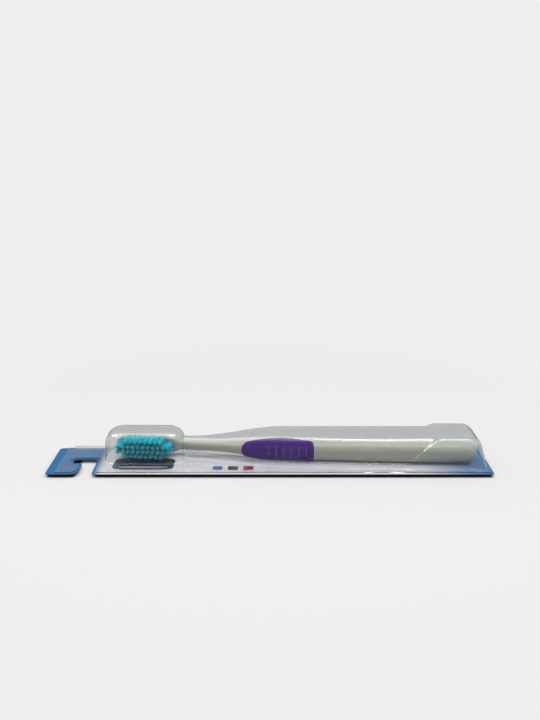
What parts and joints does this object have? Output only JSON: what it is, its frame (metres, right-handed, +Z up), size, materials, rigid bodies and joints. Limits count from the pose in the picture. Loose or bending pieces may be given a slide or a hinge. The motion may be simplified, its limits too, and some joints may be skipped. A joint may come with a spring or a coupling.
{
  "type": "manual toothbrush",
  "caption": "Manual toothbrush with a leaning tufted head and a soft ribbed thumb grip, lying on its side in a peel-off clear blister on a printed hanging card.",
  "frame": {"origin": "middle of the backing card's underside", "axes": "+X from the hang notch towards the handle's end, +Z up through the card and the blister, and -Y the way the bristles point, towards the picture's viewer"},
  "size_m": [0.23, 0.036, 0.0166],
  "materials": {
    "card_board": "printed and gloss coated",
    "clear_sheet": "clear thermoformed sheet",
    "handle_plastic": "smooth moulded",
    "grip_rubber": "satin soft overmould",
    "bristle_nylon": "nylon filaments",
    "anchor_brass": "stamped"
  },
  "bodies": {
    "card": {"backing_card": "card_board"},
    "blister": {"blister": "clear_sheet"},
    "toothbrush": {"handle": "handle_plastic", "thumb_grip": "grip_rubber", "tuft_anchors": "anchor_brass", "bristle_tuft_1_01": "bristle_nylon", "bristle_tuft_1_02": "bristle_nylon", "bristle_tuft_1_03": "bristle_nylon", "bristle_tuft_1_04": "bristle_nylon", "bristle_tuft_1_05": "bristle_nylon", "bristle_tuft_1_06": "bristle_nylon", "bristle_tuft_1_07": "bristle_nylon", "bristle_tuft_1_08": "bristle_nylon", "bristle_tuft_2_01": "bristle_nylon", "bristle_tuft_2_02": "bristle_nylon", "bristle_tuft_2_03": "bristle_nylon", "bristle_tuft_2_04": "bristle_nylon", "bristle_tuft_2_05": "bristle_nylon", "bristle_tuft_2_06": "bristle_nylon", "bristle_tuft_2_07": "bristle_nylon", "bristle_tuft_2_08": "bristle_nylon", "bristle_tuft_2_09": "bristle_nylon", "bristle_tuft_2_10": "bristle_nylon", "bristle_tuft_2_11": "bristle_nylon", "bristle_tuft_3_01": "bristle_nylon", "bristle_tuft_3_02": "bristle_nylon", "bristle_tuft_3_03": "bristle_nylon", "bristle_tuft_3_04": "bristle_nylon", "bristle_tuft_3_05": "bristle_nylon", "bristle_tuft_3_06": "bristle_nylon", "bristle_tuft_3_07": "bristle_nylon", "bristle_tuft_3_08": "bristle_nylon", "bristle_tuft_3_09": "bristle_nylon", "bristle_tuft_3_10": "bristle_nylon", "bristle_tuft_3_11": "bristle_nylon", "bristle_tuft_4_01": "bristle_nylon", "bristle_tuft_4_02": "bristle_nylon", "bristle_tuft_4_03": "bristle_nylon", "bristle_tuft_4_04": "bristle_nylon", "bristle_tuft_4_05": "bristle_nylon", "bristle_tuft_4_06": "bristle_nylon", "bristle_tuft_4_07": "bristle_nylon", "bristle_tuft_4_08": "bristle_nylon"}
  },
  "joints": [
    {"name": "blister_peel", "type": "hinge", "parent": "card", "child": "blister", "pos_m": [-0.1106, 0, 0.00085], "axis": [0, -1, 0], "range_deg": [0, 100]},
    {"name": "brush_play", "type": "slide", "parent": "card", "child": "toothbrush", "axis": [1, 0, 0], "range_m": [-0.0012, 0.0012]}
  ]
}
